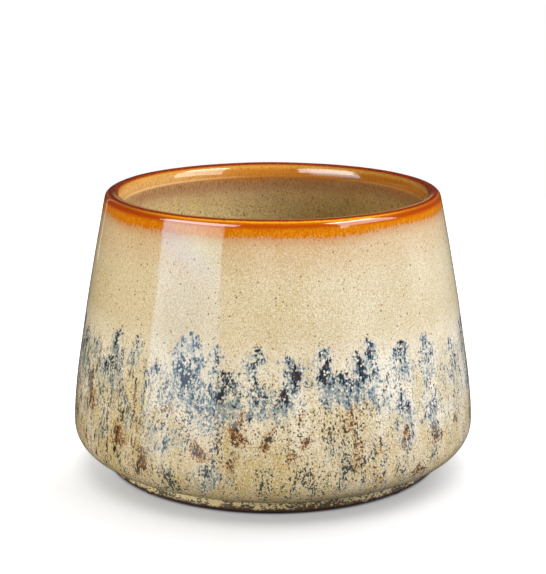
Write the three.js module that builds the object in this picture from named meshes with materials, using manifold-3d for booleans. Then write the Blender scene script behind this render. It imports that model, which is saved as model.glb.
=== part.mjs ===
// Glazed stoneware flower pot with a drain plug, a drain mesh and four rubber feet.
// Millimetres, +Z up. The origin is on the ground, on the pot's axis.
// The pot leans in from a wide low belly to a rolled rim and stands on a turned foot ring.

import * as THREE from 'three';
import Module from 'manifold-3d';
import { mergeGeometries, mergeVertices } from 'three/addons/utils/BufferGeometryUtils.js';

// Pot body: heights are measured from the underside of the foot ring
const potHeight = 108;
const bodyRadius = 80;
const rimRadius = 65.8;
const rimThickness = 6.4;
const wallThickness = 6;
const floorThickness = 6.5;
const shoulderRadius = 11;
const innerCornerRadius = 12;
const bellyRise = 13; // from the top of the inner corner to the bend of the wall
const lipStraight = 1; // upright inner face under the rolled rim
const lipStep = 1.6; // overhang of the rim inside the wall

// Foot ring and drain hole
const footHeight = 5.2;
const footWidth = 9;
const footRounding = 0.8;
const grooveRadius = 1; // hollow between the shoulder and the foot ring
const recessDepth = 3.5; // underside of the floor above the foot ring
const drainRadius = 6.5;

// Drain plug, dropped into the drain hole from inside
const plugClearance = 0.4;
const plugTaper = 0.6;
const plugOverlap = 5; // flange beyond the drain hole
const plugThickness = 2.2;
const plugRounding = 0.7;
const plugEnd = 1.5; // stem below the floor, where a fingertip pushes it out

// Drain mesh, lying on the plug's flange
const meshOverhang = 11; // mesh beyond the flange
const meshThickness = 1.2;
const meshPitch = 4;
const meshBar = 1.2;
const meshBorder = 2;

// Rubber feet under the foot ring
const padCount = 4;
const padThickness = 1;
const padMargin = 0.3; // flat of the foot ring left bare beside a pad

// Finishes
const glazeFinish = { color: 0xcfc09a, roughness: 0.15, metalness: 0 };
const siliconeFinish = { color: 0x54504a, roughness: 0.7, metalness: 0 };
const meshFinish = { color: 0x2c302c, roughness: 0.6, metalness: 0 };
const rubberFinish = { color: 0x3a3632, roughness: 0.8, metalness: 0 };

// Fineness of the round surfaces
const turnSteps = 64;
const smallTurnSteps = 40;
const padSteps = 24;
const wallSteps = 10;
const cornerSteps = 6;
const rimSteps = 9;
const edgeSteps = 2;
const samePoint = 1e-6;

// Ends of the quarter arcs in an outline
const upAngle = Math.PI / 2;
const inAngle = Math.PI;
const downAngle = 1.5 * Math.PI;
const outAngle = 2 * Math.PI;

const shoulderCentreRadius = bodyRadius - shoulderRadius;
const shoulderTop = footHeight + shoulderRadius;
const footRadius = shoulderCentreRadius - grooveRadius;
const recessRadius = footRadius - footWidth;
const footMiddle = footRadius - footWidth / 2;
const floorTop = recessDepth + floorThickness;
const innerRadius = bodyRadius - wallThickness;
const innerCornerTop = floorTop + innerCornerRadius;
const bellyHeight = innerCornerTop + bellyRise;
const lipRadius = rimRadius - rimThickness;
const rollRadius = rimThickness / 2;
const rollCentre = new THREE.Vector2(rimRadius - rollRadius, potHeight - rollRadius);
const plugRadius = drainRadius + plugOverlap;
const meshRadius = plugRadius + meshOverhang;
const padRadius = footWidth / 2 - footRounding - padMargin;

// Points of a round stretch in the (radius, height) plane
function arc(centreRadius, centreHeight, radius, fromAngle, toAngle, steps) {
  const clockwise = toAngle < fromAngle;
  const curve = new THREE.EllipseCurve(
    centreRadius, centreHeight, radius, radius, fromAngle, toAngle, clockwise);
  return curve.getPoints(steps);
}

// Points of the pot's wall, which bows out from its upper end and is upright at the belly
function bow(upper, radius, lowerHeight, steps) {
  const bend = new THREE.Vector2(radius, bellyHeight);
  const lower = new THREE.Vector2(radius, lowerHeight);
  return new THREE.QuadraticBezierCurve(lower, bend, upper).getPoints(steps);
}

// Solid of revolution about Z from stretches of outline that run anticlockwise
function turned(stretches, steps, closed) {
  const points = stretches.flat();
  const outline = points.filter(
    (point, index) => index === 0 || point.distanceTo(points[index - 1]) > samePoint);
  if (closed) {
    outline.push(outline[0].clone());
  }
  return new THREE.LatheGeometry(outline, steps).rotateX(Math.PI / 2);
}

function at(radius, height) {
  return [new THREE.Vector2(radius, height)];
}

function potBody() {
  const bend = new THREE.Vector2(bodyRadius, bellyHeight);
  const toRoll = rollCentre.clone().sub(bend);
  // The wall runs into the rolled rim where the line from its bend touches the roll
  const rollStart = toRoll.angle() - Math.asin(rollRadius / toRoll.length()) - upAngle;
  const roll = arc(rollCentre.x, rollCentre.y, rollRadius, rollStart, inAngle, rimSteps);
  const lipHeight = rollCentre.y - lipStraight;
  const wallTop = new THREE.Vector2(lipRadius + lipStep, lipHeight - lipStep);
  const innerWall = bow(wallTop, innerRadius, innerCornerTop, wallSteps).reverse();
  const innerCornerCentre = innerRadius - innerCornerRadius;
  const grooveHeight = footHeight - grooveRadius;
  return turned([
    at(drainRadius, recessDepth),
    at(recessRadius, recessDepth),
    arc(recessRadius + footRounding, footRounding, footRounding, inAngle, downAngle, edgeSteps),
    arc(footRadius - footRounding, footRounding, footRounding, downAngle, outAngle, edgeSteps),
    arc(shoulderCentreRadius, grooveHeight, grooveRadius, inAngle, upAngle, edgeSteps),
    arc(shoulderCentreRadius, shoulderTop, shoulderRadius, downAngle, outAngle, cornerSteps),
    bow(roll[0], bodyRadius, shoulderTop, wallSteps),
    roll,
    arc(lipRadius + lipStep, lipHeight, lipStep, inAngle, downAngle, edgeSteps),
    innerWall,
    arc(innerCornerCentre, innerCornerTop, innerCornerRadius, outAngle, downAngle, cornerSteps),
    at(drainRadius, floorTop),
  ], turnSteps, true);
}

// The flange's underside is at height 0 and the tapered stem hangs below it
function drainPlug() {
  const stemRadius = drainRadius - plugClearance;
  const stemEnd = -floorThickness - plugEnd;
  const endCentre = stemRadius - plugTaper - plugRounding;
  const edgeCentre = plugRadius - plugRounding;
  return turned([
    at(0, stemEnd),
    arc(endCentre, stemEnd + plugRounding, plugRounding, downAngle, outAngle, edgeSteps),
    at(stemRadius, 0),
    at(plugRadius, 0),
    arc(edgeCentre, plugThickness - plugRounding, plugRounding, 0, upAngle, edgeSteps),
    at(0, plugThickness),
  ], smallTurnSteps, false);
}

const wasm = await Module();
wasm.setup();

function solid(geometry) {
  geometry.deleteAttribute('normal');
  geometry.deleteAttribute('uv');
  const merged = mergeVertices(geometry);
  return new wasm.Manifold(new wasm.Mesh({
    numProp: 3,
    vertProperties: merged.getAttribute('position').array,
    triVerts: Uint32Array.from(merged.getIndex().array),
  }));
}

function cut(geometry, tool) {
  const rest = solid(geometry).subtract(solid(tool)).getMesh();
  const result = new THREE.BufferGeometry();
  result.setAttribute('position', new THREE.BufferAttribute(rest.vertProperties, 3));
  result.setIndex(new THREE.BufferAttribute(rest.triVerts, 1));
  result.computeVertexNormals();
  return result;
}

function upright(radius, height, steps) {
  const cylinder = new THREE.CylinderGeometry(radius, radius, height, steps);
  return cylinder.rotateX(Math.PI / 2).translate(0, 0, height / 2);
}

// Round disc with a grid of square openings that stop short of its border
function drainMesh() {
  const opening = meshPitch - meshBar;
  const punchLength = 2 * meshThickness;
  const reach = Math.floor(meshRadius / meshPitch);
  const openings = [];
  for (let column = -reach; column <= reach; column += 1) {
    for (let row = -reach; row <= reach; row += 1) {
      const x = column * meshPitch;
      const y = row * meshPitch;
      const corner = Math.hypot(Math.abs(x) + opening / 2, Math.abs(y) + opening / 2);
      if (corner < meshRadius - meshBorder) {
        const punch = new THREE.BoxGeometry(opening, opening, punchLength);
        openings.push(punch.translate(x, y, meshThickness / 2));
      }
    }
  }
  return cut(upright(meshRadius, meshThickness, smallTurnSteps), mergeGeometries(openings));
}

function piece(name, geometry, finish, height) {
  const mesh = new THREE.Mesh(geometry, new THREE.MeshStandardMaterial(finish));
  mesh.name = name;
  mesh.position.z = height;
  return mesh;
}

const flowerPot = new THREE.Group();
const floorHeight = padThickness + floorTop;
flowerPot.add(piece('pot_body', potBody(), glazeFinish, padThickness));
flowerPot.add(piece('drain_plug', drainPlug(), siliconeFinish, floorHeight));
flowerPot.add(piece('drain_mesh', drainMesh(), meshFinish, floorHeight + plugThickness));
for (let index = 0; index < padCount; index += 1) {
  const angle = 2 * Math.PI * (index + 0.5) / padCount;
  const disc = upright(padRadius, padThickness, padSteps);
  const pad = piece(`foot_pad_${index + 1}`, disc, rubberFinish, 0);
  pad.position.x = footMiddle * Math.cos(angle);
  pad.position.y = footMiddle * Math.sin(angle);
  flowerPot.add(pad);
}

export default flowerPot;
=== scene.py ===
# Glazed stoneware flower pot with a drain plug, a drain mesh and rubber feet
import math
import random

import bpy
import numpy as np
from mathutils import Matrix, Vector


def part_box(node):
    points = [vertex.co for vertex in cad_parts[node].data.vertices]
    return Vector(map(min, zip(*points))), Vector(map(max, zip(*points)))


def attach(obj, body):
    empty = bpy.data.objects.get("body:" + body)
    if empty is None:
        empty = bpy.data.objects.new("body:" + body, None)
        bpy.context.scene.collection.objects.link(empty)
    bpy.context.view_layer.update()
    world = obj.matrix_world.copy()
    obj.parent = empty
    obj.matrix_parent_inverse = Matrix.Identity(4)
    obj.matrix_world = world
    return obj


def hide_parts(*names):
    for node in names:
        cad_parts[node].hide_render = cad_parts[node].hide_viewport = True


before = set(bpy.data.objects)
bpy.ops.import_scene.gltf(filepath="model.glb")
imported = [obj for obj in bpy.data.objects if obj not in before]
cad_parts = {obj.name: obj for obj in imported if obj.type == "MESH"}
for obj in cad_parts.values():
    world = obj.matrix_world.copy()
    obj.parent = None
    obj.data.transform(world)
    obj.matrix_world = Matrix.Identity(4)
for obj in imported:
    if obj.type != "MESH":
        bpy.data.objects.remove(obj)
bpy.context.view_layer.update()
mm = 0.001
quarter = math.pi / 2  # a quarter turn
weld = 0.01 * mm  # points nearer than this become one


def operators(operation):  # a Math node with the wire first, and with it second
    def forwards(wire, other):
        return wire.maths(operation, wire, other)

    def backwards(wire, other):
        return wire.maths(operation, other, wire)

    return forwards, backwards


class Wire:  # one socket; arithmetic on it adds Math nodes
    __add__, __radd__ = operators("ADD")
    __sub__, __rsub__ = operators("SUBTRACT")
    __mul__, __rmul__ = operators("MULTIPLY")
    __truediv__, __rtruediv__ = operators("DIVIDE")

    def __init__(self, bench, socket):
        self.bench = bench
        self.socket = socket

    def __abs__(self):
        return self.maths("ABSOLUTE", self)

    def maths(self, operation, *values):
        return self.bench.shader("Math", dict(enumerate(values)), operation=operation)

    def out(self, name):  # another output of the same node
        return Wire(self.bench, self.socket.node.outputs[name])


class Bench:  # a node tree to work on
    def __init__(self, tree):
        self.tree = tree
        self.values = {}  # of a geometry tree's inputs
        tree.nodes.clear()

    def node(self, kind, sockets=None, output=0, **settings):
        made = self.tree.nodes.new(kind)
        for name, value in settings.items():
            setattr(made, name, value)
        for key, value in (sockets or {}).items():
            self.feed(made.inputs[key], value)
        return Wire(self, made.outputs[output]) if made.outputs else made

    def shader(self, kind, *values, **settings):
        return self.node(f"ShaderNode{kind}", *values, **settings)

    def shape(self, kind, *values, **settings):
        return self.node(f"GeometryNode{kind}", *values, **settings)

    def feed(self, socket, value):
        if isinstance(value, Wire):
            self.tree.links.new(value.socket, socket)
        elif isinstance(value, list):  # several links into one socket
            for one in value:
                self.tree.links.new(one.socket, socket)
        else:
            socket.default_value = value

    def ramp(self, share, stops):
        made = self.shader("ValToRGB", {"Fac": share})
        elements = made.socket.node.color_ramp.elements
        while len(elements) < len(stops):
            elements.new(0.5)
        for element, (position, colour) in zip(elements, stops):
            element.position = position
            element.color = colour
        return made

    def mix(self, share, below, above):
        return self.shader("Mix", {0: share, 6: below, 7: above}, 2, data_type="RGBA")

    def smooth(self, value, low, high):
        sockets = {"Value": value, "From Min": low, "From Max": high}
        return self.shader("MapRange", sockets, interpolation_type="SMOOTHSTEP")

    def between(self, value, rise, fall):  # each a pair, from and to
        return self.smooth(value, *rise) * self.smooth(value, *fall)

    def noise(self, place, scale, detail=2.0, roughness=0.5):
        sockets = {"Vector": place, "Scale": scale, "Detail": detail, "Roughness": roughness}
        return self.shader("TexNoise", sockets)

    def stretched(self, place, scale, shift=(0, 0, 0)):
        return self.shader("Mapping", {"Vector": place, "Scale": scale, "Location": shift})

    def upright(self, place, squash, shift=(0, 0, 0)):  # a squash below 1 draws a pattern out along Z
        return self.stretched(place, (1, 1, squash), shift)

    def vectors(self, operation, sockets, output=0):
        return self.shader("VectorMath", sockets, output, operation=operation)

    def warped(self, place, scale, amount):  # pushed about by noise
        push = self.noise(place, scale, 1.0).out("Color")
        push = self.vectors("SUBTRACT", {0: push, 1: (0.5, 0.5, 0.5)})
        push = self.vectors("SCALE", {0: push, "Scale": amount})
        return self.vectors("ADD", {0: place, 1: push})

    def axis(self, place, name):  # the other two axes are outputs of the same node
        return self.shader("SeparateXYZ", {0: place}, name)

    def attribute(self, name, output="Fac"):
        return self.shader("Attribute", {}, output, attribute_name=name)

    def bump(self, strength, distance, height):
        return self.shader("Bump", {"Strength": strength, "Distance": distance, "Height": height})

    def circle(self, radius, steps):
        return self.shape("CurvePrimitiveCircle", {"Resolution": steps, "Radius": radius}, mode="RADIUS")

    def lifted(self, geometry, height):
        lift = self.shader("CombineXYZ", {"Z": height})
        return self.shape("Transform", {"Geometry": geometry, "Translation": lift})


def paint(red, green, blue):  # screen colour, 0 to 255, to the renderer's linear colour
    linear = []
    for part in (red, green, blue):
        share = part / 255
        linear.append(share / 12.92 if share <= 0.04045 else ((share + 0.055) / 1.055) ** 2.4)
    return (*linear, 1.0)


def newMaterial(name):
    material = bpy.data.materials.new(name)
    material.use_nodes = True
    return material, Bench(material.node_tree)


def millimetres(bench):  # the piece's own coordinates
    place = bench.shader("TexCoord", output="Object")
    return bench.stretched(place, (1 / mm, 1 / mm, 1 / mm))


def finishMaterial(bench, sockets):
    shader = bench.shader("BsdfPrincipled", sockets)
    bench.shader("OutputMaterial", {"Surface": shader})


def mouldedMaterial(name, look):  # clouded colour, rougher where it has marks or else where it is dark
    material, b = newMaterial(name)
    p = millimetres(b)
    worn = b.smooth(b.noise(p, look["cloudScale"], 3), *look["clouds"])
    colour = b.mix(worn, look["colour"], look["darkColour"])
    if "mark" in look:
        marks = b.noise(b.stretched(p, *look["markPlace"]), look["markScale"], 3, 0.65)
        worn = b.smooth(marks, *look["marks"])
        colour = b.mix(worn * look["markShare"], colour, look["mark"])
    roughness = look["roughness"] + worn * look["wornRoughness"]
    grain = b.bump(*look["grain"], b.noise(p, look["grainScale"], 2))
    finishMaterial(b, {"Base Color": colour, "Roughness": roughness, "Normal": grain})
    return material


def startTree(title, inputs):  # the tree's bench, and its named inputs as wires
    tree = bpy.data.node_groups.new(title, "GeometryNodeTree")
    bench = Bench(tree)
    kinds = {float: "NodeSocketFloat", int: "NodeSocketInt", bpy.types.Material: "NodeSocketMaterial"}
    made = {}
    for name, value in inputs.items():
        kind = kinds[type(value)]
        made[name] = tree.interface.new_socket(name, in_out="INPUT", socket_type=kind)
    bench.values = {made[name].identifier: value for name, value in inputs.items()}
    start = bench.node("NodeGroupInput")
    return bench, {name: start.out(name) for name in inputs}


def finishTree(bench, geometry, material):
    bench.tree.interface.new_socket("Geometry", in_out="OUTPUT", socket_type="NodeSocketGeometry")
    geometry = bench.shape("SetShadeSmooth", {"Geometry": geometry})
    geometry = bench.shape("RealizeInstances", {"Geometry": geometry})
    geometry = bench.shape("SetMaterial", {"Geometry": geometry, "Material": material})
    bench.node("NodeGroupOutput", {"Geometry": geometry})
    return bench


def growPiece(name, bench, rounding=0):  # the tree's result as a plain mesh
    piece = bpy.data.objects.new(name, bpy.data.meshes.new(name))
    bpy.context.collection.objects.link(piece)
    modifier = piece.modifiers.new("build", "NODES")
    modifier.node_group = bench.tree
    for identifier, value in bench.values.items():
        modifier[identifier] = value
    if rounding:
        bevel = piece.modifiers.new("edges", "BEVEL")
        bevel.width = rounding
        bevel.segments = 2
        bevel.harden_normals = True
    piece.update_tag()
    evaluated = piece.evaluated_get(bpy.context.evaluated_depsgraph_get())
    mesh = bpy.data.meshes.new_from_object(evaluated)
    piece.modifiers.clear()
    piece.data = mesh
    mesh.name = name
    return piece


def hand(piece, body, nodes):
    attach(piece, body)
    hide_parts(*nodes)
    print(f"{piece.name}: {len(piece.data.polygons)} faces on {body}")


# Camera at the photograph's viewing angle
cameraView = {
    "distance": 556.1 * mm,
    "height": 208.5 * mm,
    "tiltDown": 0.246,  # radians
    "lens": 90.14,  # on the long side of a 36 mm sensor
    "farthest": 50,  # metres
}


def makeCamera(view):
    camera = bpy.data.objects.new("camera", bpy.data.cameras.new("camera"))
    camera.data.lens = view["lens"]
    camera.data.clip_end = view["farthest"]
    camera.location = (0, -view["distance"], view["height"])
    camera.rotation_euler = (quarter - view["tiltDown"], 0, 0)
    bpy.context.collection.objects.link(camera)
    bpy.context.scene.camera = camera
    print("camera placed")


makeCamera(cameraView)

# Studio: angles are from the front, positive to the right of the picture
studio = {
    "floorRadius": 0.6,
    "floorCorners": 64,
    "floorWhite": 0.86,
    "floorTint": (0.985, 0.99, 1.0),
    "floorRoughness": 0.9,
    "floorGlow": 0.37,
    "backPaintedLight": 0.34,  # more of it behind the pot: painted light that pales the pot's shadow on the floor at its sides and behind it
    "backStart": (-0.05, 0.02),
    "footShade": (0.0655, 0.0680),  # no glow inside the first radius, under the foot ring
    "floorBounce": 0.35,  # how pale the floor looks to the pot
    "panels": {  # what it lights, angle, distance, lowest and highest point, width, radiance, colour
        "left_fill": ("soft", -54, 1.2, -0.30, 0.36, 0.97, 8.8, (1.0, 0.97, 0.91)),
        "left_window": ("shine", -52.6, 1.2, -0.62, 1.39, 0.945, 10, (1.0, 1.0, 1.0)),
        "left_crown": ("shine", -48, 0.3, 0.19, 0.345, 0.29, 9, (0.92, 0.96, 1.0)),
        "left_strip": ("shine", -147, 1.2, -0.10, 1.00, 0.05, 0.8, (1.0, 0.93, 0.76)),
        "right_fill": ("soft", 65, 0.9, 0.27, 1.26, 0.76, 8.2, (0.94, 1.0, 1.2)),
        "right_window": ("shine", 65, 0.9, 0.27, 1.26, 0.76, 6.6, (0.85, 1.0, 0.92)),
        "right_crown": ("shine", 65, 0.89, 0.85, 1.26, 0.76, 14, (1.0, 0.98, 0.90)),
        "right_card": ("shine", 63, 0.9, -0.12, 0.14, 0.34, 0.6, (0.66, 0.85, 1.0)),
    },
    "overhead": ((0.4, 0.4, 1.5), 2.4, 1.75),  # place, width and radiance; it lights the floor
    "fading": {"left_window": [  # shares of the panel's height and the colour there
        (0.0, (0.0, 0.0, 0.0, 1)), (0.06, (0.05, 0.05, 0.04, 1)), (0.134, (0.18, 0.18, 0.17, 1)),
        (0.209, (0.18, 0.19, 0.20, 1)), (0.256, (0.15, 0.18, 0.22, 1)), (0.298, (0.16, 0.20, 0.27, 1)),
        (0.363, (0.16, 0.25, 0.38, 1)), (0.407, (0.17, 0.28, 0.43, 1)), (0.424, (0.16, 0.34, 0.60, 1)),
        (0.434, (0.20, 0.48, 0.70, 1)), (0.446, (0.32, 0.62, 0.64, 1)), (0.565, (0.46, 0.42, 0.34, 1))]},
    "fadingStrength": 1.05,
    "dimSide": (0.5, 1.0, 0.38),  # from and to, in shares of a fading panel's width, and the loss there
    "room": 0.24,
    "shinyRoom": 0.05,
}


def areaLight(name, width, tall, radiance, tint):
    light = bpy.data.lights.new(name, "AREA")
    light.shape = "RECTANGLE"
    light.size = width
    light.size_y = tall
    light.color = tint
    light.energy = radiance * width * tall * math.pi
    panel = bpy.data.objects.new(name, light)
    panel.visible_camera = False
    bpy.context.collection.objects.link(panel)
    return panel


def reach(panel, floor, state):  # the panel lights only the floor, or all but the floor
    linked = bpy.data.collections.new(f"{panel.name}_reach")
    linked.objects.link(floor)
    linked.collection_objects[0].light_linking.link_state = state
    panel.light_linking.receiver_collection = linked


def studioPanel(name, floor, kind, angle, distance, low, high, width, radiance, tint):
    turn = math.radians(angle)
    panel = areaLight(name, width, high - low, radiance, tint)
    panel.location = (distance * math.sin(turn), -distance * math.cos(turn), (low + high) / 2)
    panel.rotation_euler = (quarter, 0, turn)
    panel.visible_diffuse = kind == "soft"
    panel.visible_glossy = kind == "shine"
    panel.data.cycles.use_multiple_importance_sampling = kind == "shine"
    reach(panel, floor, "EXCLUDE")


def fadePanel(light, stops, strength, dimSide):  # colours that change up the panel
    light.use_nodes = True
    bench = Bench(light.node_tree)
    spot = bench.shader("NewGeometry", output="Parametric")
    height = bench.axis(spot, "Y")
    colour = bench.ramp(height, stops)
    dimStart, dimEnd, loss = dimSide
    strength = strength - bench.smooth(height.out("X"), dimStart, dimEnd) * loss
    glow = bench.shader("Emission", {"Color": colour, "Strength": strength})
    bench.shader("OutputLight", {"Surface": glow})


def makeFloor(studio):
    mesh = bpy.data.meshes.new("floor")
    count = studio["floorCorners"]
    wide = studio["floorRadius"]
    ring = []
    for step in range(count):
        turn = 4 * quarter * step / count
        ring.append((wide * math.cos(turn), wide * math.sin(turn), 0))
    mesh.from_pydata(ring, [], [list(range(count))])
    floor = bpy.data.objects.new("floor", mesh)
    floor.visible_glossy = False
    bpy.context.collection.objects.link(floor)
    material, bench = newMaterial("studio_floor")
    seen = bench.shader("LightPath", output="Is Camera Ray")
    place = bench.shader("TexCoord", output="Object")
    radius = bench.vectors("LENGTH", {0: place}, "Value")
    # painted light: the floor glows more behind the pot's front, paling its shadow there
    paintedLightBehind = bench.smooth(bench.axis(place, "Y"), *studio["backStart"])
    glow = studio["floorGlow"] + paintedLightBehind * studio["backPaintedLight"]
    glow = bench.smooth(radius, *studio["footShade"]) * glow
    white = studio["floorBounce"] + (studio["floorWhite"] - studio["floorBounce"]) * seen
    tinted = {channel: white * share for channel, share in enumerate(studio["floorTint"])}
    finishMaterial(bench, {
        "Base Color": bench.shader("CombineColor", tinted),
        "Roughness": studio["floorRoughness"], "Specular IOR Level": 0.0,
        "Emission Color": (1, 1, 1, 1), "Emission Strength": glow * seen})
    mesh.materials.append(material)
    return floor


def makeStudio(studio):
    floor = makeFloor(studio)
    for name, values in studio["panels"].items():
        studioPanel(name, floor, *values)
    for name, stops in studio["fading"].items():
        fadePanel(bpy.data.lights[name], stops, studio["fadingStrength"], studio["dimSide"])
    place, width, radiance = studio["overhead"]
    overhead = areaLight("overhead", width, width, radiance, (1, 1, 1))
    overhead.location = place
    reach(overhead, floor, "INCLUDE")
    world = bpy.data.worlds.new("studio")
    world.use_nodes = True
    bpy.context.scene.world = world
    bench = Bench(world.node_tree)
    path = bench.shader("LightPath", output="Is Camera Ray")
    dim = studio["room"] + (studio["shinyRoom"] - studio["room"]) * path.out("Is Glossy Ray")
    strength = dim * (1 - path) + path
    sky = bench.shader("Background", {"Color": (1, 1, 1, 1), "Strength": strength})
    bench.shader("OutputWorld", {"Surface": sky})
    bpy.context.scene.view_settings.view_transform = "Standard"
    print("studio set")


makeStudio(studio)

# Pot body: sizes from the underside of the foot ring up
potLow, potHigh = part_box("pot_body")
potSizes = {
    "Body Radius": potHigh.x,
    "Pot Height": potHigh.z - potLow.z,
    "Rim Radius": 65.8 * mm,
    "Roll Radius": 3.2 * mm,
    "Wall": 6 * mm,
    "Shoulder Radius": 11 * mm,
    "Belly Height": 35 * mm,
    "Inner Corner": 12 * mm,
    "Floor Height": 10 * mm,
    "Foot Height": 5.2 * mm,
    "Foot Width": 9 * mm,
    "Groove Radius": 1 * mm,
    "Recess Depth": 3.5 * mm,
    "Drain Radius": 6.5 * mm,
    "Edge Rounding": 0.8 * mm,
    "Lift": potLow.z,
    "Unevenness": 0.25 * mm,
    "Wobble Scale": 28.0,
    "Turn Steps": 320,
}
lipTilt = (math.radians(20), math.radians(3))  # the lip's inner face leans back, less so lower down
lipFace = 3.2 * mm
lipRounding = 1.2 * mm
lipUndercut = math.radians(17)  # how far the lip's lower edge turns under before it meets the wall
lipBlend = 3.0 * mm


class Outline:  # stretches of a turned outline, in order, as curve nodes
    def __init__(self, bench):
        self.bench = bench
        self.stretches = []

    def point(self, radius, height):
        return self.bench.shader("CombineXYZ", {"X": radius, "Y": height})

    def line(self, fromRadius, fromHeight, toRadius, toHeight, steps):
        ends = {"Start": self.point(fromRadius, fromHeight), "End": self.point(toRadius, toHeight)}
        line = self.bench.shape("CurvePrimitiveLine", ends)
        self.stretches.append(self.bench.shape("ResampleCurve", {"Curve": line, "Count": steps + 1}))

    def arc(self, centreRadius, centreHeight, radius, fromAngle, toAngle, steps):
        curve = self.bench.shape("CurveArc", {
            "Resolution": steps + 1, "Radius": radius,
            "Start Angle": fromAngle, "Sweep Angle": toAngle - fromAngle}, mode="RADIUS")
        centre = self.point(centreRadius, centreHeight)
        self.stretches.append(self.bench.shape("Transform", {"Geometry": curve, "Translation": centre}))

    def bow(self, start, middle, end, steps):
        curve = self.bench.shape("CurveQuadraticBezier", {
            "Resolution": steps, "Start": self.point(*start),
            "Middle": self.point(*middle), "End": self.point(*end)})
        self.stretches.append(curve)

    def turned(self, steps):  # the outline swept round the axis
        pathRadius = 50 * mm
        joined = self.bench.shape("JoinGeometry", {"Geometry": self.stretches})
        laid = self.bench.shape("Transform", {
            "Geometry": joined, "Translation": (-pathRadius, 0, 0), "Scale": (1, -1, 1)})
        path = self.bench.circle(pathRadius, steps)
        path = self.bench.shape("SetCurveNormal", {"Curve": path}, mode="Z_UP")
        skin = self.bench.shape("CurveToMesh", {"Curve": path, "Profile Curve": laid})
        skin = self.bench.shape("MergeByDistance", {"Geometry": skin, "Distance": weld})
        return self.bench.shape("FlipFaces", {"Mesh": skin})


def rollStartAngle(sizes):  # where the line from the wall's bend touches the rolled rim
    inward = sizes["Rim Radius"] - sizes["Roll Radius"] - sizes["Body Radius"]
    rise = sizes["Pot Height"] - sizes["Roll Radius"] - sizes["Belly Height"]
    tangent = math.asin(sizes["Roll Radius"] / math.hypot(inward, rise))
    return math.atan2(rise, inward) - tangent - quarter


def potOutline(bench, s, rollStart):
    outline = Outline(bench)
    edge = s["Edge Rounding"]
    groove = s["Groove Radius"]
    recess = s["Recess Depth"]
    shoulder = s["Shoulder Radius"]
    shoulderRadius = s["Body Radius"] - shoulder
    shoulderTop = s["Foot Height"] + shoulder
    footRadius = shoulderRadius - groove
    ringRadius = footRadius - s["Foot Width"]
    drainEdge = s["Drain Radius"] + edge
    roll = s["Roll Radius"]
    rollRadius = s["Rim Radius"] - roll
    rollHeight = s["Pot Height"] - roll
    innerRadius = s["Body Radius"] - s["Wall"]
    corner = s["Inner Corner"]
    cornerTop = s["Floor Height"] + corner

    # Underside, foot ring and groove
    outline.line(drainEdge, recess, ringRadius - edge, recess, 10)
    outline.arc(ringRadius - edge, recess - edge, edge, quarter, 0, 4)
    outline.line(ringRadius, recess - edge, ringRadius, edge, 3)
    outline.arc(ringRadius + edge, edge, edge, 2 * quarter, 3 * quarter, 4)
    outline.line(ringRadius + edge, 0.0, footRadius - edge, 0.0, 6)
    outline.arc(footRadius - edge, edge, edge, 3 * quarter, 4 * quarter, 5)
    outline.line(footRadius, edge, footRadius, s["Foot Height"] - groove, 6)
    outline.arc(shoulderRadius, s["Foot Height"] - groove, groove, 2 * quarter, quarter, 5)
    # Shoulder, wall and rolled rim
    outline.arc(shoulderRadius, shoulderTop, shoulder, -quarter, 0, 22)
    wallEnd = (rollRadius + math.cos(rollStart) * roll, rollHeight + math.sin(rollStart) * roll)
    outline.bow((s["Body Radius"], shoulderTop), (s["Body Radius"], s["Belly Height"]), wallEnd, 96)
    faceStart = 2 * quarter - lipTilt[0]
    faceEnd = 2 * quarter - lipTilt[1]
    outline.arc(rollRadius, rollHeight, roll, rollStart, faceStart, 28)
    # Bowed lip with a rounded lower edge that runs into the inner wall
    bow = lipFace / (faceEnd - faceStart)
    bowRadius = rollRadius + math.cos(faceStart) * (roll - bow)
    bowHeight = rollHeight + math.sin(faceStart) * (roll - bow)
    outline.arc(bowRadius, bowHeight, bow, faceStart, faceEnd, 10)
    centreRadius = bowRadius + math.cos(faceEnd) * (bow - lipRounding)
    centreHeight = bowHeight + math.sin(faceEnd) * (bow - lipRounding)
    underAngle = 2 * quarter + lipUndercut
    outline.arc(centreRadius, centreHeight, lipRounding, faceEnd, underAngle, 8)
    underRadius = centreRadius + math.cos(underAngle) * lipRounding
    underHeight = centreHeight + math.sin(underAngle) * lipRounding
    turnRadius = underRadius + math.sin(lipUndercut) * lipBlend
    turnHeight = underHeight - math.cos(lipUndercut) * lipBlend
    lean = (innerRadius - turnRadius) / (turnHeight - s["Belly Height"])
    wallTop = (turnRadius + lipBlend * lean, turnHeight - lipBlend)
    outline.bow((underRadius, underHeight), (turnRadius, turnHeight), wallTop, 8)
    outline.bow(wallTop, (innerRadius, s["Belly Height"]), (innerRadius, cornerTop), 32)
    outline.arc(innerRadius - corner, cornerTop, corner, 0, -quarter, 14)
    # Inner floor and drain hole
    outline.line(innerRadius - corner, s["Floor Height"], drainEdge, s["Floor Height"], 12)
    outline.arc(drainEdge, s["Floor Height"] - edge, edge, quarter, 2 * quarter, 4)
    outline.line(s["Drain Radius"], s["Floor Height"] - edge, s["Drain Radius"], recess + edge, 4)
    outline.arc(drainEdge, recess + edge, edge, 2 * quarter, 3 * quarter, 4)
    return outline


def potTree(glaze):
    bench, s = startTree("turned_pot", {**potSizes, "Glaze": glaze})
    outline = potOutline(bench, s, rollStartAngle(potSizes))
    skin = outline.turned(s["Turn Steps"])
    # slight unevenness, a fraction of a millimetre
    place = bench.shape("InputPosition")
    wobble = bench.noise(place, s["Wobble Scale"], 1.0)
    amount = (wobble - 0.5) * s["Unevenness"] * 2
    normal = bench.shape("InputNormal")
    offset = bench.vectors("SCALE", {0: normal, "Scale": amount})
    skin = bench.shape("SetPosition", {"Geometry": skin, "Offset": offset})
    return finishTree(bench, bench.lifted(skin, s["Lift"]), s["Glaze"])


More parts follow.
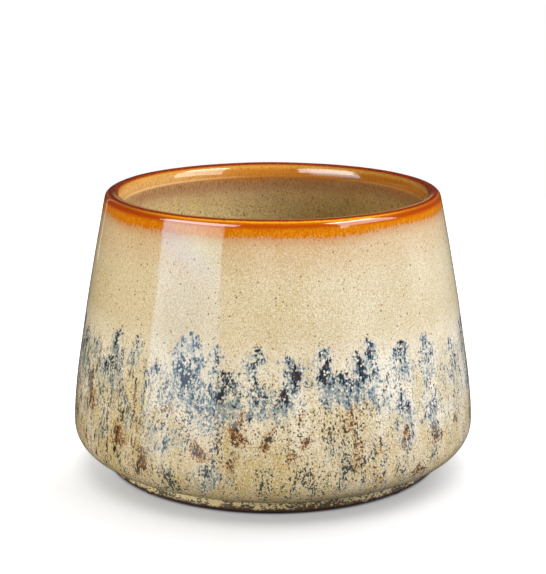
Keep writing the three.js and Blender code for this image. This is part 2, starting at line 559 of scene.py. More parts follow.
# Runs in the glaze: angle from the front in degrees, top, bottom and width in mm, strength
navyRuns = [
    (-72, 62, 47, 8, 0.9), (-61, 61, 54, 3.5, 0.7), (-50, 68, 55, 3, 1.1), (-52, 57, 47, 7, 0.9),
    (-42, 67, 57, 2.2, 0.9), (-34, 58, 53, 3.6, 0.6), (-30, 51, 45, 4.5, 0.5), (-30, 37, 28, 6, 0.45),
    (-27, 58, 53, 2.5, 0.8), (-26, 68, 60, 2.2, 0.9), (-24, 71, 65, 2.4, 0.9), (-24, 61, 46, 9, 1.0),
    (-21, 68, 61, 2.4, 0.8), (-20, 48, 43, 3, 0.8), (-18, 43, 39, 3.5, 0.7), (-18, 25, 16, 5, 0.8),
    (-16, 69, 56, 2.6, 0.75), (-13, 58, 43, 6.5, 1.1), (-11, 59, 52, 2.4, 0.9), (-5, 68, 57, 3.4, 0.7),
    (-4, 55, 44, 6, 0.7), (1.5, 52.5, 44, 5, 0.9), (4.6, 65, 57, 3.2, 1.0), (5.2, 62, 47, 3.4, 1.25),
    (13.5, 68, 60, 3, 0.75), (14.5, 62, 50, 3.6, 1.15), (17, 57, 51, 3.5, 0.8), (20, 57.5, 48.5, 7.5, 1.0),
    (24, 65, 49, 3.4, 1.25), (27, 69, 57, 2.8, 1.1), (28.6, 60, 49, 3.6, 0.8),
    (32, 55, 42, 4.6, 0.5), (38, 48, 37, 3.4, 0.8), (38.5, 66, 53, 4.6, 0.85), (48.5, 47, 32, 4.5, 0.45),
    (49, 67, 51, 3.6, 0.75), (63, 61, 43, 8, 0.4), (-80, 66, 30, 3, 0.8), (-76, 54, 32, 2, 0.6),
    (-68, 60, 40, 1.8, 0.6), (-64, 52, 30, 1.5, 0.5), (-57, 56, 36, 1.8, 0.55), (-54, 44, 22, 1.5, 0.5),
    (-47, 60, 38, 1.6, 0.55), (-43, 46, 30, 1.6, 0.5), (-37, 57, 42, 1.5, 0.5), (-35, 46, 30, 1.6, 0.4),
    (36, 50, 26, 1.4, 0.35), (40, 42, 20, 1.4, 0.35), (46, 63, 36, 1.6, 0.6), (51, 54, 24, 1.5, 0.35),
    (56, 50, 22, 1.3, 0.3), (61, 58, 28, 1.5, 0.35), (68, 60, 34, 1.8, 0.4),
]
rustRuns = [
    (-62, 48, 29, 4.5, 0.9), (-47, 48, 39, 3.5, 0.6), (-46, 31, 22, 6, 1.0), (-37, 26, 14, 4.5, 1.0),
    (-29, 43, 39, 3, 0.8), (-23, 47, 44, 2.4, 0.8), (-20, 31, 23, 4.2, 1.0), (-18, 43, 39, 2.6, 0.7),
    (-10, 27, 21, 3, 0.7), (-9, 52, 45, 1.5, 0.7), (-9, 44, 30, 4.5, 0.9), (-1, 38, 27, 3, 0.9),
    (4, 29, 24, 2.6, 0.8), (8, 43, 37, 2.4, 0.9), (8, 34, 29, 2.4, 0.9), (21, 47, 31, 5, 0.7),
    (22, 33, 18, 3, 0.85), (28, 32, 23, 3, 0.8), (28, 22, 10, 3.6, 0.7), (38, 33, 24, 3.2, 1.0),
    (43, 17, 11, 6, 0.7), (49, 31, 21, 5, 1.0), (60, 29, 25, 3, 0.8),
]
pepperClouds = [
    (-65, 50, 22, 18, 0.25), (-54, 48, 12, 12, 0.35), (-41, 50, 27, 16, 0.4), (-41, 25, 14, 11, 0.4),
    (-31, 51, 27, 10, 0.5), (-28, 21, 8, 12, 1.0), (-16, 23, 13, 8, 0.8), (-14, 51, 33, 12, 0.45),
    (-14, 31, 20, 10, 0.3), (-9, 46, 28, 8, 0.6), (-3, 54, 38, 13, 0.5), (-2, 24, 10, 13, 0.65),
    (-1, 41, 27, 5, 0.6), (8, 44, 32, 6, 0.4), (8, 25, 9, 20, 0.8), (16, 38, 29, 7, 0.6),
    (21, 52, 39, 12, 0.6), (22, 38, 13, 10, 0.9), (28, 29, 10, 6, 0.5), (37, 26, 9, 6, 0.7),
    (39, 47, 32, 6, 0.7), (48, 27, 13, 12, 0.4), (50, 46, 29, 8, 0.7),
]
runSpread = {  # ranges for the side that faces away, in mm
    "seed": 11,
    "angles": (72, 280),  # degrees from the front
    "navyCount": 52,
    "navyTop": (46, 69, 60),  # lowest, highest and likeliest
    "navySizes": ((5, 15), (2, 7.5), (0.5, 1.1)),  # length, width and strength
    "pepperTop": (22, 52),
    "pepperSizes": ((10, 26), (6, 16), (0.4, 0.9)),
    "rustCount": 36,
    "rustTop": (18, 48),
    "rustSizes": ((4, 14), (2, 6), (0.6, 1.0)),
}
runShape = {
    "sway": 0.9,  # degrees to either side
    "swayRate": 0.4,  # radians for each mm of height
    "halfWidth": 0.6,  # share of the stated width
    "taper": (0.45, 1.15),  # shares of that at the top and at the bottom
    "narrowest": 0.9,  # mm, about as fine as the mesh can hold
    "topFade": 0.25,  # shares of the length
    "bottomFade": 0.3,
    "overTop": 0.5,  # mm
    "underBottom": 3,
    "rustWiden": 1.35,
    "hazeWiden": 1.7,
    "hazeDrop": 3.0,
    "tailStart": 6,  # specks that trail from each dark run, in mm from its bottom
    "tailEnd": 22,
    "tailWidth": (0.9, 1.5),  # share of the run's width, and mm more
    "tailStrength": 0.5,
}


def backRuns(spread):  # the same kinds of run for the side that faces away
    dice = random.Random(spread["seed"])

    def runFrom(angle, top, sizes):
        tall, width, strength = [dice.uniform(*limits) for limits in sizes]
        return angle, top, top - tall, width, strength

    navy = []
    rust = []
    pepper = []
    for _ in range(spread["navyCount"]):
        angle = dice.uniform(*spread["angles"])
        navy.append(runFrom(angle, dice.triangular(*spread["navyTop"]), spread["navySizes"]))
        pepper.append(runFrom(angle, dice.uniform(*spread["pepperTop"]), spread["pepperSizes"]))
    for _ in range(spread["rustCount"]):
        angle = dice.uniform(*spread["angles"])
        rust.append(runFrom(angle, dice.uniform(*spread["rustTop"]), spread["rustSizes"]))
    return navy, rust, pepper


def ease(value, low, high):
    share = np.clip((value - low) / (high - low), 0, 1)
    return share * share * (3 - 2 * share)


def runField(angle, height, runs, widen=1.0, drop=0.0, shape=runShape):  # the strongest run at each point
    point, foot = shape["taper"]
    field = np.zeros_like(angle)
    for centre, top, bottom, width, strength in runs:
        sway = shape["sway"] * np.sin(shape["swayRate"] * height + centre)
        turn = (angle - centre - sway + 180) % 360 - 180
        taper = point + (foot - point) * ease(height, top, bottom)
        halfWidth = np.maximum(shape["halfWidth"] * width * widen * taper, shape["narrowest"])
        across = np.radians(turn) * potSizes["Body Radius"] / mm / halfWidth
        tall = top - bottom
        fadeTop = top - shape["topFade"] * tall - drop
        rise = 1 - ease(height, fadeTop, top + shape["overTop"] - drop)
        fadeBottom = bottom + shape["bottomFade"] * tall - drop
        fall = ease(height, bottom - shape["underBottom"] - 2 * drop, fadeBottom)
        field = np.maximum(field, strength * np.exp(-across * across) * rise * fall)
    return field


def speckTails(runs):
    share, extra = runShape["tailWidth"]
    tails = []
    for angle, _, bottom, width, strength in runs:
        top = bottom + runShape["tailStart"]
        end = bottom - runShape["tailEnd"]
        tails.append((angle, top, end, share * width + extra, runShape["tailStrength"] * strength))
    return tails


def addField(mesh, name, kind, key, values):
    attribute = mesh.attributes.new(name, kind, "POINT")
    attribute.data.foreach_set(key, values.astype(np.float32).ravel())


def markGlaze(piece):  # where the runs, the inside and the rolled rim are, as mesh attributes
    mesh = piece.data
    spot = np.empty(len(mesh.vertices) * 3)
    mesh.vertices.foreach_get("co", spot)
    spot = spot.reshape(-1, 3)
    facing = np.array([normal.vector for normal in mesh.vertex_normals])
    radius = np.hypot(spot[:, 0], spot[:, 1])
    height = (spot[:, 2] - potLow.z) / mm
    angle = np.degrees(np.arctan2(spot[:, 0], -spot[:, 1]))
    outward = (facing[:, 0] * spot[:, 0] + facing[:, 1] * spot[:, 1]) / radius
    upward = facing[:, 2]
    floorHeight = potSizes["Floor Height"] / mm
    recess = potSizes["Recess Depth"] / mm
    touch = 0.1  # mm
    near = 1.0
    innerWall = (outward < 0) & (height > floorHeight + touch)
    innerFloor = (upward > 0.9) & (height < floorHeight + near)
    inner = innerWall | innerFloor
    under = (height < recess + touch) & (upward < 0.5) & (outward < 0.5)
    outside = np.where(inner | under, 0.0, 1.0)
    backNavy, backRust, backPepper = backRuns(runSpread)
    navy = navyRuns + backNavy
    rust = rustRuns + backRust
    pepper = pepperClouds + backPepper + speckTails(navy)
    runs = np.stack([
        runField(angle, height, navy) * outside,
        runField(angle, height, navy, runShape["hazeWiden"], runShape["hazeDrop"]) * outside,
        runField(angle, height, rust, runShape["rustWiden"]) * outside], axis=1)
    addField(mesh, "runs", "FLOAT_VECTOR", "vector", runs)
    addField(mesh, "pepper", "FLOAT", "value", runField(angle, height, pepper) * outside)
    addField(mesh, "inner", "FLOAT", "value", inner)
    # 0 on the outside of the rolled rim, 1 on its inside
    above = height - (potSizes["Pot Height"] - potSizes["Roll Radius"]) / mm
    beyond = (radius - potSizes["Rim Radius"] + potSizes["Roll Radius"]) / mm
    over = np.arctan2(np.maximum(above, 0), beyond) / math.pi
    addField(mesh, "rim", "FLOAT", "value", np.where(above > 0, over, inner))


# Glaze colours, and where they are; most are as they look in even white light, and some carry painted
# light and shade, marked below
glazeLook = {
    "beige": paint(206, 186, 140),
    "cream": paint(219, 202, 162),
    "tanGrain": paint(178, 140, 84),
    "paleGrain": paint(238, 228, 200),
    "speck": paint(138, 76, 24),
    "darkSpeck": paint(52, 62, 62),
    "olive": paint(190, 166, 92),
    "peach": paint(216, 180, 130),
    "pale": paint(240, 230, 202),
    "butter": paint(246, 238, 212),
    # cream of the foot ring, partly painted light that makes up for the shade under the shoulder
    "footCream": paint(234, 212, 160),
    "milk": paint(214, 212, 198),
    "haze": paint(120, 138, 141),
    "slate": paint(70, 93, 106),
    "teal": paint(36, 64, 70),
    "moss": paint(84, 64, 40),
    "navy": paint(32, 37, 45),
    "maroon": paint(72, 48, 42),
    "ochre": paint(190, 136, 66),
    "rust": paint(130, 74, 32),
    "darkRust": paint(54, 36, 30),
    "insideBeige": paint(232, 202, 128),
    "insideGrain": paint(160, 128, 72),
    "insideOlive": paint(208, 184, 116),
    "amber": paint(190, 98, 2),
    "redAmber": paint(178, 68, 2),
    # dark amber, partly painted shade: a painted dark reflection over the top of the roll and painted
    # shade at the rim's left and right ends
    "darkAmber": paint(150, 40, 2),
    "goldAmber": paint(214, 130, 8),
    # gold, partly a painted highlight on the rolled rim
    "rimGold": paint(250, 172, 34),
    "honey": paint(218, 156, 64),
    "fox": paint(200, 126, 42),
    # pale amber, painted light: the lit left of the inner lip, and a painted reflection along the top of
    # the front rim
    "thinAmber": paint(222, 180, 108),
    "blush": paint(196, 142, 88),
    "insideBlush": paint(172, 120, 78),
    "fibre": paint(150, 84, 52),
    # the lip edge's pale amber, partly a painted highlight
    "edgeAmber": paint(246, 196, 128),
    "clay": paint(72, 42, 22),
    # pooled glaze and painted shade in the groove above the foot ring
    "crease": paint(70, 58, 34),
    "roughness": 0.05,
    "bareRoughness": 0.6,  # more of it on the bare clay
    "ior": 1.52,
    "peel": 0.006 * mm,  # depth of the orange peel
    # each fades in between two heights, in mm above the underside of the foot ring
    "lowGround": (68, 36),
    "lowSpecks": (68, 48),
    "bandTop": (70, 54),
    "bandBottom": (16, 40),
    "goldTop": (38, 24),
    "mossTop": (12, 30),
    "creaseTop": (6.8, 5.0),
    "creaseBottom": (3.4, 4.4),
    "ringTop": (5.0, 4.4),
    # fewer specks up here, for a painted highlight band on the foot ring
    "ringHighlightClear": (1.8, 3.2),
    "bareClay": (1.7, 0.9),
    # or between two depths below the rim
    "fringe": (24, 9),
    "nearFringe": (11, 5.5),
    "hem": (2.0, 3.6),
    "lipEdgeTop": (4.9, 5.3),
    "lipEdgeBottom": (6.2, 5.8),
    # or between two distances from the axis, with left and front negative
    "leftGround": (-30, -60),
    "leftStrokes": (-32, -60),
    # painted light on the inner lip, fading in towards the left
    "leftLipLight": (-8, -50),
    # how strongly the painted highlight on the lip's edge shows, towards the left and towards the right
    "leftLipEdge": (0, -40),
    "rightRim": (15, 55),
    "rightLipEdge": (20, 45),
    "middle": (34, 4),
    # painted shade: the rolled rim darker towards its left and right ends
    "rimEndsShade": (28, 58),
    # painted reflection along the top of the rolled rim, fading in towards the front
    "frontRimReflection": (-5, -25),
    "ringRadius": (60, 62),
    # shares of the way over the rolled rim, from the outside; the gold stop is partly a painted highlight,
    # and the dark amber band over the top of the roll is partly a painted dark reflection
    "rimStops": [
        (0.0, "redAmber"), (0.14, "redAmber"), (0.22, "amber"), (0.285, "rimGold"), (0.35, "darkAmber"),
        (0.68, "darkAmber"), (0.78, "honey"), (0.84, "honey"), (0.94, "fox"), (1.0, "fox")],
}


class Coat:  # a colour with others laid over it
    def __init__(self, bench, look, colour):
        self.bench = bench
        self.look = look
        self.colour = colour

    def lay(self, share, tone):  # a wire, or a colour's name
        self.colour = self.bench.mix(share, self.colour, self.look.get(tone, tone))


def grains(b, p, scale, density, size=0.62):  # round grains in a share of the cells
    cell = b.shader("TexVoronoi", {"Vector": p, "Scale": scale})
    chance = b.shader("SeparateColor", {"Color": cell.out("Color")}, "Red")
    present = b.smooth(density - chance, 0.0, 0.05)
    tone = chance.out("Green")  # a second chance, for the colour
    return present * b.smooth(cell.out("Distance"), size, size * 0.55), tone


def glazeFlow(b, p):  # how the glaze ran
    bend = b.noise(b.upright(p, 0.36, (4, 19, 33)), 0.28, 2) - 0.5
    return {
        "grainy": b.warped(p, 1.1, 0.9),
        "drip": b.noise(b.upright(p, 0.13, (8, 21, 5)), 0.30, 3, 0.55),  # long and soft
        "fibre": b.noise(b.upright(p, 0.2, (40, 2, 8)), 0.9, 2, 0.6),  # upright wisps in all the runs
        "vein": b.smooth(abs(bend), 0.07, 0.0),  # branching rivulets
    }


def beigeGround(b, p, look):
    broad = b.noise(b.upright(p, 0.35), 0.06)
    return b.mix(b.smooth(broad, 0.25, 0.75), look["beige"], look["cream"])


def lowerGround(b, p, flow, height, look, coat):  # pale band behind the runs, olive and peach below
    low = b.smooth(height, *look["lowGround"])
    band = b.between(height, look["bandTop"], look["bandBottom"])
    across = b.axis(p, "X")
    left = b.smooth(across, *look["leftGround"])
    warm = low * (1 - left * 0.7)
    cloud = b.noise(b.upright(p, 0.5, (2, 2, 6)), 0.12, 2) + left * 0.25
    coat.lay(b.smooth(cloud, 0.27, 0.50) * band * 0.92, "pale")
    coat.lay(left * band * 0.75, "pale")
    patch = b.noise(b.upright(p, 0.4, (3, 50, 9)), 0.10, 2)
    coat.lay(b.smooth(patch, 0.42, 0.58) * low * 0.7, "olive")
    patch = b.noise(b.upright(p, 0.4, (70, 5, 2)), 0.09, 2)
    coat.lay(b.smooth(patch, 0.48, 0.62) * warm * 0.18, "peach")
    middle = b.smooth(abs(across), *look["middle"]) * b.smooth(height, *look["goldTop"])
    coat.lay(middle * 0.45, "olive")
    coat.lay(b.smooth(flow["drip"], 0.53, 0.66) * low * 0.28, "haze")
    coat.lay(b.smooth(flow["drip"], 0.46, 0.34) * warm * 0.5, "olive")
    glint = b.noise(b.upright(p, 0.7, (22, 13, 4)), 1.8, 2)
    coat.lay(b.smooth(glint, 0.50, 0.60) * low * (0.35 + band * 0.3), "butter")


def grainColour(b, p, coat):  # fine tan and pale grain over the whole outside
    tan = b.smooth(b.noise(b.upright(p, 0.7), 2.5, 1), 0.50, 0.62)
    coat.lay(tan * 0.58, "tanGrain")
    pale = b.smooth(b.noise(b.upright(p, 0.7, (31, 7, 0)), 2.5, 1), 0.52, 0.64)
    coat.lay(pale * 0.6, "paleGrain")


def rustColour(b, p, flow, rust, look, coat):  # brown wisps with orange grains round them
    drift = b.noise(b.upright(p, 0.5, (5, 9, 14)), 0.5, 2)
    shown, _ = grains(b, b.upright(flow["grainy"], 0.7, (9, 2, 31)), 1.3, rust * 0.7)
    coat.lay(b.smooth(rust + drift, 0.65, 1.4) * 0.25 + shown * 0.6, "ochre")
    fine = b.noise(b.upright(p, 0.75, (9, 5, 1)), 1.35, 2, 0.6)
    level = fine * 0.6 + drift * 0.2 + flow["fibre"] * 0.2 + rust * (0.155 + flow["vein"] * 0.13)
    tone = b.noise(b.upright(p, 0.6, (1, 5, 8)), 0.7, 1)
    ink = b.mix(b.smooth(tone, 0.36, 0.52), look["rust"], look["darkRust"])
    coat.lay(b.smooth(level, 0.605, 0.645) * b.smooth(rust, 0.05, 0.3) * 0.9, ink)


def speckColour(b, p, flow, height, look, coat):  # fine teal and moss specks over the lower half
    low = b.smooth(height, *look["lowSpecks"])
    pepper = b.attribute("pepper")
    fine = b.noise(b.upright(p, 0.75, (2, 44, 7)), 1.3, 2, 0.6)
    trails = pepper * (0.06 + flow["vein"] * 0.12) + (flow["drip"] - 0.5) * 0.3
    level = fine * 0.8 + flow["fibre"] * 0.2 + low * trails
    moss = b.smooth(b.noise(b.upright(p, 0.5, (6, 6, 40)), 0.22, 2), 0.42, 0.54)
    ink = b.mix(moss * b.smooth(height, *look["mossTop"]), look["teal"], look["moss"])
    coat.lay(b.smooth(level, 0.605, 0.63) * low * 0.95, ink)
    # long strokes on the left side
    left = b.smooth(b.axis(p, "X"), *look["leftStrokes"])
    stroke = b.noise(b.upright(p, 0.22, (12, 30, 3)), 0.75, 3, 0.6) + (flow["vein"] - 0.4) * 0.04
    coat.lay(b.smooth(stroke, 0.585, 0.60) * left * low, "darkRust")
    # round specks, dark where the glaze trails and ochre all over
    density = low * (0.03 + pepper * (0.10 + flow["vein"] * 0.16))
    shown, _ = grains(b, b.upright(flow["grainy"], 0.85, (2, 44, 7)), 1.2, density)
    coat.lay(shown * 0.95, ink)
    shown, _ = grains(b, b.upright(flow["grainy"], 0.8, (5, 12, 50)), 1.4, 0.05 + low * 0.17, 0.5)
    coat.lay(shown * 0.8, "ochre")


def navyColour(b, p, flow, navy, haze, look, coat):  # slate clouds and dark wisps, in fingers
    fine = b.noise(b.upright(p, 0.7, (15, 3, 28)), 1.3, 2, 0.65)
    clump = b.noise(b.upright(p, 0.6, (33, 14, 6)), 0.45, 1)
    level = (fine * 0.5 + clump * 0.27 + flow["fibre"] * 0.23 - 0.5) * 1.25 + 0.5
    cloud = haze + (level - 0.5) * 1.6 + (flow["vein"] - 0.4) * 0.3
    near = b.smooth(cloud, 0.05, 0.35) * b.smooth(haze, 0.02, 0.2)
    coat.lay(near * 0.25, "milk")
    coat.lay(b.smooth(level + haze * 0.15, 0.53, 0.66) * near * 0.8, "haze")
    level = level + navy * (0.10 + flow["vein"] * 0.17) + b.smooth(navy, 0.5, 0.95) * 0.03
    coat.lay(b.smooth(level, 0.585, 0.63) * near * 0.9, "slate")
    warm = b.smooth(b.noise(b.upright(p, 0.6, (8, 8, 3)), 0.45, 2), 0.47, 0.55)
    ink = b.mix(warm * 0.85, look["navy"], look["maroon"])
    coat.lay(b.smooth(level, 0.65, 0.68) * near * 0.95, ink)
    # dark grains, and pale ones where bubbles burst
    density = navy * 0.28 + haze * 0.12
    shown, tone = grains(b, b.upright(flow["grainy"], 0.85, (15, 3, 28)), 1.15, density)
    ink = b.mix(b.smooth(tone, 0.6, 0.75), look["teal"], look["maroon"])
    coat.lay(shown * 0.95, ink)
    shown, _ = grains(b, b.upright(flow["grainy"], 0.85, (21, 8, 3)), 1.0, haze * 0.34, 0.52)
    coat.lay(shown * 0.8, "pale")


def insideColour(b, p, look):
    streak = b.noise(b.upright(p, 0.4, (6, 1, 12)), 0.22, 3, 0.6)
    coat = Coat(b, look, look["insideBeige"])
    coat.lay(b.smooth(streak, 0.40, 0.62) * 0.6, "insideOlive")
    grain = b.smooth(b.noise(p, 1.6, 2), 0.46, 0.62)
    coat.lay(grain * 0.58, "insideGrain")
    pale = b.smooth(b.noise(b.upright(p, 1, (17, 4, 9)), 1.7, 1), 0.54, 0.68)
    coat.lay(pale * 0.5, "paleGrain")
    shown, tone = grains(b, b.upright(p, 0.8, (8, 3, 5)), 0.9, 0.16, 0.5)
    ink = b.mix(b.smooth(tone, 0.5, 0.6), look["darkSpeck"], look["ochre"])
    coat.lay(shown * 0.75, ink)
    return coat.colour


def pinholeColour(b, p, look, coat):  # sparse brown and dark dots, inside and outside
    shown, tone = grains(b, b.upright(p, 1, (4, 4, 4)), 0.8, 0.09, 0.36)
    ink = b.mix(b.smooth(tone, 0.7, 0.75), look["speck"], look["darkSpeck"])
    coat.lay(shown * 0.85, ink)


def amberCoat(b, across, depth, inner, streak, grain, look):  # the colour of the amber, with a partly painted highlight and dark reflection over the roll, painted shade at the rim's ends, a painted reflection along the top of the front rim and painted light on the left of the inner lip
    rim = b.attribute("rim")
    stops = [(share, look[name]) for share, name in look["rimStops"]]
    coat = Coat(b, look, b.ramp(rim + (streak - 0.5) * 0.08, stops))
    # painted shade: the roll darker towards its left and right ends
    ends = b.smooth(abs(across), *look["rimEndsShade"]) * b.between(rim, (0.05, 0.2), (0.7, 0.5))
    coat.lay(ends * 0.7, "darkAmber")
    # painted reflection: a pale line along the top of the front rim's roll
    paintedRimReflection = b.between(rim, (0.43, 0.47), (0.66, 0.62)) * b.smooth(across.out("Y"), *look["frontRimReflection"])
    coat.lay(paintedRimReflection * 0.8, "thinAmber")
    # painted light: the left of the inner lip paler where the light falls on it
    paintedLipLight = b.smooth(across, *look["leftLipLight"]) * inner * b.smooth(rim, 0.8, 0.95)
    coat.lay(paintedLipLight * 0.6, "thinAmber")
    coat.lay(b.smooth(streak, 0.50, 0.62) * inner * 0.5, "amber")
    hem = b.mix(b.smooth(grain * 0.4 + streak * 0.6, 0.38, 0.60), look["amber"], look["goldAmber"])
    coat.lay(b.smooth(depth, *look["hem"]) * (1 - inner), hem)
    return coat.colour


def rimColour(b, p, depth, inner, look, coat):  # amber that runs down from the rim, grainy at its edge
    streak = b.noise(b.upright(p, 0.45), 1.3, 3, 0.65)
    grain = b.noise(b.upright(p, 0.8, (3, 1, 8)), 2.4, 1)
    broad = b.noise(p, 0.045, 1)
    across = b.axis(p, "X")
    ragged = depth + (streak - 0.5) * 4.0 + (grain - 0.5) * 3.0 + (broad - 0.5) * 2.0
    ragged = ragged + b.smooth(across, *look["rightRim"]) * 0.9
    fringe = b.mix(inner, look["blush"], look["insideBlush"])
    coat.lay(b.smooth(ragged, *look["fringe"]) * (0.34 + inner * 0.16), fringe)
    below = b.smooth(ragged - inner * 3.0, *look["nearFringe"])
    coat.lay(below * (0.85 - inner * 0.25), fringe)
    coat.lay(b.smooth(streak, 0.50, 0.60) * below * inner * 0.6, "fibre")
    amber = amberCoat(b, across, depth, inner, streak, grain, look)
    coat.lay(b.smooth(ragged - inner * 1.2, 6.9, 5.3 - inner * 1.5), amber)
    # the coat breaks pale on the lip's edge, and a painted highlight runs along it, strongest on the left
    # and faint in the middle
    ends = b.smooth(across, *look["leftLipEdge"]) * 0.6 + b.smooth(across, *look["rightLipEdge"]) * 0.2
    edge = b.between(depth, look["lipEdgeTop"], look["lipEdgeBottom"]) * inner
    coat.lay(edge * (0.1 + ends), "edgeAmber")


def footColour(b, p, height, inner, look, coat):  # cream ring, partly painted highlight, with dark crowds of specks, under a groove darkened with pooled glaze and painted shade
    radius = b.vectors("LENGTH", {0: b.upright(p, 0)}, "Value")
    ring = b.smooth(height, *look["ringTop"]) * b.smooth(radius, *look["ringRadius"]) * (1 - inner)
    # painted light: the foot ring paler, partly its own cream glaze
    coat.lay(ring * 0.9, "footCream")
    crowd = b.smooth(b.noise(b.upright(p, 0.5, (2, 8, 5)), 0.09, 2), 0.34, 0.58)
    fine = b.noise(b.upright(p, 1.7, (7, 4, 2)), 0.9, 2, 0.6)
    tone = b.noise(b.upright(p, 1, (1, 2, 9)), 0.5, 1)
    ink = b.mix(b.smooth(tone, 0.46, 0.54), look["teal"], look["moss"])
    level = fine + crowd * 0.17 - b.smooth(height, *look["ringHighlightClear"]) * 0.06
    coat.lay(b.smooth(level, 0.54, 0.60) * ring * 0.9, ink)
    # darker band in the groove above the foot ring: pooled glaze and painted shade
    crease = b.between(height, look["creaseTop"], look["creaseBottom"]) * (1 - inner)
    coat.lay(crease * 0.85, "crease")


def glazeMaterial(look):
    material, b = newMaterial("run_glaze")
    p = millimetres(b)
    height = b.axis(p, "Z") - potLow.z / mm
    depth = potSizes["Pot Height"] / mm - height
    inner = b.attribute("inner")
    navy = b.axis(b.attribute("runs", "Vector"), "X")
    haze = navy.out("Y")
    rust = navy.out("Z")
    flow = glazeFlow(b, p)
    coat = Coat(b, look, beigeGround(b, p, look))
    lowerGround(b, p, flow, height, look, coat)
    grainColour(b, p, coat)
    rustColour(b, p, flow, rust, look, coat)
    speckColour(b, p, flow, height, look, coat)
    navyColour(b, p, flow, navy, haze, look, coat)
    coat.lay(inner, insideColour(b, p, look))
    pinholeColour(b, p, look, coat)
    rimColour(b, p, depth, inner, look, coat)
    footColour(b, p, height, inner, look, coat)
    bare = b.smooth(height + (b.noise(p, 0.4, 2) - 0.5) * 2.4, *look["bareClay"])
    coat.lay(bare, "clay")
    roughness = look["roughness"] + bare * look["bareRoughness"]
    peel = b.bump(1.0, look["peel"], b.noise(p, 0.25, 1) * 2 + b.noise(p, 1.2, 1))
    finishMaterial(b, {
        "Base Color": coat.colour, "Roughness": roughness, "IOR": look["ior"], "Normal": peel})
    return material


potBody = growPiece("glazed_pot", potTree(glazeMaterial(glazeLook)))
markGlaze(potBody)
hand(potBody, "pot", ["pot_body"])

# Drain plug: silicone, with a flange that lies on the inner floor
plugLow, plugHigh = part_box("drain_plug")
plugSizes = {
    "Flange Radius": plugHigh.x,
    "Flange Thickness": 2.2 * mm,
    "Flange Rounding": 0.7 * mm,
    "Dish Radius": 8.6 * mm,
    "Dish Depth": 0.5 * mm,
    "Stem Radius": 6.1 * mm,
    "Stem End Radius": 5.5 * mm,
    "Rib Radius": 0.35 * mm,
    "Bottom": plugLow.z,
    "Top": plugHigh.z,
    "Turn Steps": 96,
}
plugLook = {
    "colour": paint(88, 83, 76),
    "darkColour": paint(66, 62, 57),
    "cloudScale": 0.25,
    "clouds": (0.38, 0.62),
    "mark": paint(132, 124, 110),  # dust
    "markPlace": ((1, 1, 1), (9, 4, 2)),  # scale and shift
    "markScale": 1.1,
    "marks": (0.54, 0.68),
    "markShare": 0.4,
    "roughness": 0.52,
    "wornRoughness": 0.25,
    "grainScale": 3.0,
    "grain": (0.6, 0.03 * mm),  # strength and depth
}
ribShares = (0.45, 0.8)  # up the stem
underRounding = 0.4  # of the flange's own rounding
dishFlat = 0.8  # of the dish's radius


def plugTree(silicone):
    bench, s = startTree("drain_plug", {**plugSizes, "Silicone": silicone})
    outline = Outline(bench)
    bottom = s["Bottom"]
    top = s["Top"]
    tip = s["Stem End Radius"]
    stem = s["Stem Radius"]
    flange = s["Flange Radius"]
    dish = s["Dish Radius"]
    soft = s["Flange Rounding"]
    softUnder = underRounding * soft
    rib = s["Rib Radius"]
    under = top - s["Flange Thickness"]
    outline.line(0.0, bottom, tip - soft, bottom, 6)
    outline.arc(tip - soft, bottom + soft, soft, -quarter, 0, 5)
    # tapered stem with two sealing ribs
    height = bottom + soft
    radius = tip
    for share in ribShares:
        ribHeight = height + (under - height) * share
        ribBase = tip + (stem - tip) * share
        outline.line(radius, height, ribBase, ribHeight - rib, 4)
        outline.arc(ribBase, ribHeight, rib, -quarter, quarter, 6)
        radius = ribBase
        height = ribHeight + rib
    outline.line(radius, height, stem, under, 3)
    # flange and its shallow dish
    outline.line(stem, under, flange - softUnder, under, 5)
    outline.arc(flange - softUnder, under + softUnder, softUnder, -quarter, 0, 4)
    outline.line(flange, under + softUnder, flange, top - soft, 2)
    outline.arc(flange - soft, top - soft, soft, 0, quarter, 6)
    outline.line(flange - soft, top, dish, top, 3)
    dishFloor = top - s["Dish Depth"]
    dishEdge = (dishFlat * dish, dishFloor)
    outline.bow((dish, top), dishEdge, (0.0, dishFloor), 16)
    return finishTree(bench, outline.turned(s["Turn Steps"]), s["Silicone"])


drainPlug = growPiece("silicone_plug", plugTree(mouldedMaterial("silicone", plugLook)))
hand(drainPlug, "plug", ["drain_plug"])

# Drain mesh: moulded plastic net that lies on the plug
meshLow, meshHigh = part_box("drain_mesh")
meshSizes = {
    "Radius": meshHigh.x,
    "Thickness": meshHigh.z - meshLow.z,
    "Pitch": 4 * mm,
    "Opening": 2.8 * mm,
    "Corner": 0.35 * mm,
    "Border": 2 * mm,
    "Level": meshLow.z,
    "Columns": 11,
    "Turn Steps": 96,
}
meshRounding = 0.18 * mm
meshLook = {
    "colour": paint(48, 53, 47),
    "darkColour": paint(34, 38, 34),
    "cloudScale": 0.2,
    "clouds": (0.40, 0.60),
    "mark": paint(96, 98, 86),  # scuffs
    "markPlace": ((1, 0.2, 1), (3, 8, 1)),
    "markScale": 2.2,
    "marks": (0.56, 0.68),
    "markShare": 0.35,
    "roughness": 0.38,
    "wornRoughness": 0.3,
    "grainScale": 4.0,
    "grain": (0.5, 0.02 * mm),
}


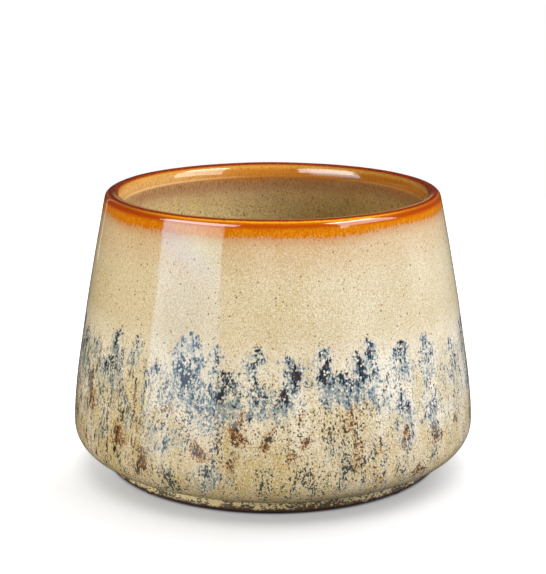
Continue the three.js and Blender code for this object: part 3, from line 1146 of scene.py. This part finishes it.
def netTree(plastic):
    bench, s = startTree("drain_net", {**meshSizes, "Plastic": plastic})
    span = s["Pitch"] * (s["Columns"] - 1)
    grid = bench.shape("MeshGrid", {
        "Size X": span, "Size Y": span, "Vertices X": s["Columns"], "Vertices Y": s["Columns"]})
    place = bench.shape("InputPosition")
    across = bench.axis(place, "X")
    cornerX = abs(across) + s["Opening"] * 0.5
    cornerY = abs(across.out("Y")) + s["Opening"] * 0.5
    reaching = cornerX * cornerX + cornerY * cornerY
    limit = s["Radius"] - s["Border"]
    outside = reaching.maths("GREATER_THAN", reaching, limit * limit)
    points = bench.shape("DeleteGeometry", {"Geometry": grid, "Selection": outside}, domain="POINT")
    square = {"Width": s["Opening"], "Height": s["Opening"]}
    hole = bench.shape("CurvePrimitiveQuadrilateral", square, mode="RECTANGLE")
    hole = bench.shape("FilletCurve", {"Curve": hole, "Count": 3, "Radius": s["Corner"]}, mode="POLY")
    holes = bench.shape("InstanceOnPoints", {"Points": points, "Instance": hole})
    holes = bench.shape("RealizeInstances", {"Geometry": holes})
    edge = bench.circle(s["Radius"], s["Turn Steps"])
    drawn = bench.shape("JoinGeometry", {"Geometry": [holes, edge]})
    sheet = bench.shape("FillCurve", {"Curve": drawn}, mode="TRIANGLES")
    upward = {"Offset": (0.0, 0.0, 1.0), "Offset Scale": s["Thickness"], "Individual": False}
    raised = bench.shape("ExtrudeMesh", {"Mesh": sheet, **upward}, mode="FACES")
    under = bench.shape("FlipFaces", {"Mesh": sheet})
    net = bench.shape("JoinGeometry", {"Geometry": [raised, under]})
    net = bench.shape("MergeByDistance", {"Geometry": net, "Distance": weld})
    return finishTree(bench, bench.lifted(net, s["Level"]), s["Plastic"])


drainMesh = growPiece("drain_net", netTree(mouldedMaterial("moulded_plastic", meshLook)), meshRounding)
hand(drainMesh, "mesh", ["drain_mesh"])

# Rubber feet, stuck under the foot ring
padLow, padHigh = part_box("foot_pad_1")
padSizes = {
    "Pad Radius": (padHigh.x - padLow.x) / 2,
    "Pad Thickness": padHigh.z,
    "Edge": 0.35 * mm,
    "Ring Radius": math.hypot(padHigh.x + padLow.x, padHigh.y + padLow.y) / 2,
    "First Angle": quarter / 2,
    "Pads": 4,
    "Turn Steps": 48,
}
padLook = {
    "colour": paint(62, 57, 52),
    "darkColour": paint(44, 40, 37),
    "cloudScale": 0.9,
    "clouds": (0.40, 0.60),
    "roughness": 0.72,
    "wornRoughness": 0.15,
    "grainScale": 3.5,
    "grain": (0.7, 0.04 * mm),
}


def padTree(rubber):
    bench, s = startTree("foot_pads", {**padSizes, "Rubber": rubber})
    outline = Outline(bench)
    edge = s["Edge"]
    flat = s["Pad Radius"] - edge
    outline.line(0.0, 0.0, flat, 0.0, 4)
    outline.arc(flat, edge, edge, -quarter, 0, 5)
    outline.line(s["Pad Radius"], edge, s["Pad Radius"], s["Pad Thickness"], 2)
    outline.line(s["Pad Radius"], s["Pad Thickness"], 0.0, s["Pad Thickness"], 4)
    pad = outline.turned(s["Turn Steps"])
    ring = bench.shape("MeshCircle", {"Vertices": s["Pads"], "Radius": s["Ring Radius"]}, fill_type="NONE")
    turn = bench.shader("CombineXYZ", {"Z": s["First Angle"]})
    ring = bench.shape("Transform", {"Geometry": ring, "Rotation": turn})
    pads = bench.shape("InstanceOnPoints", {"Points": ring, "Instance": pad})
    return finishTree(bench, pads, s["Rubber"])


footPads = growPiece("rubber_feet", padTree(mouldedMaterial("foot_rubber", padLook)))
hand(footPads, "pot", [f"foot_pad_{number}" for number in range(1, 5)])
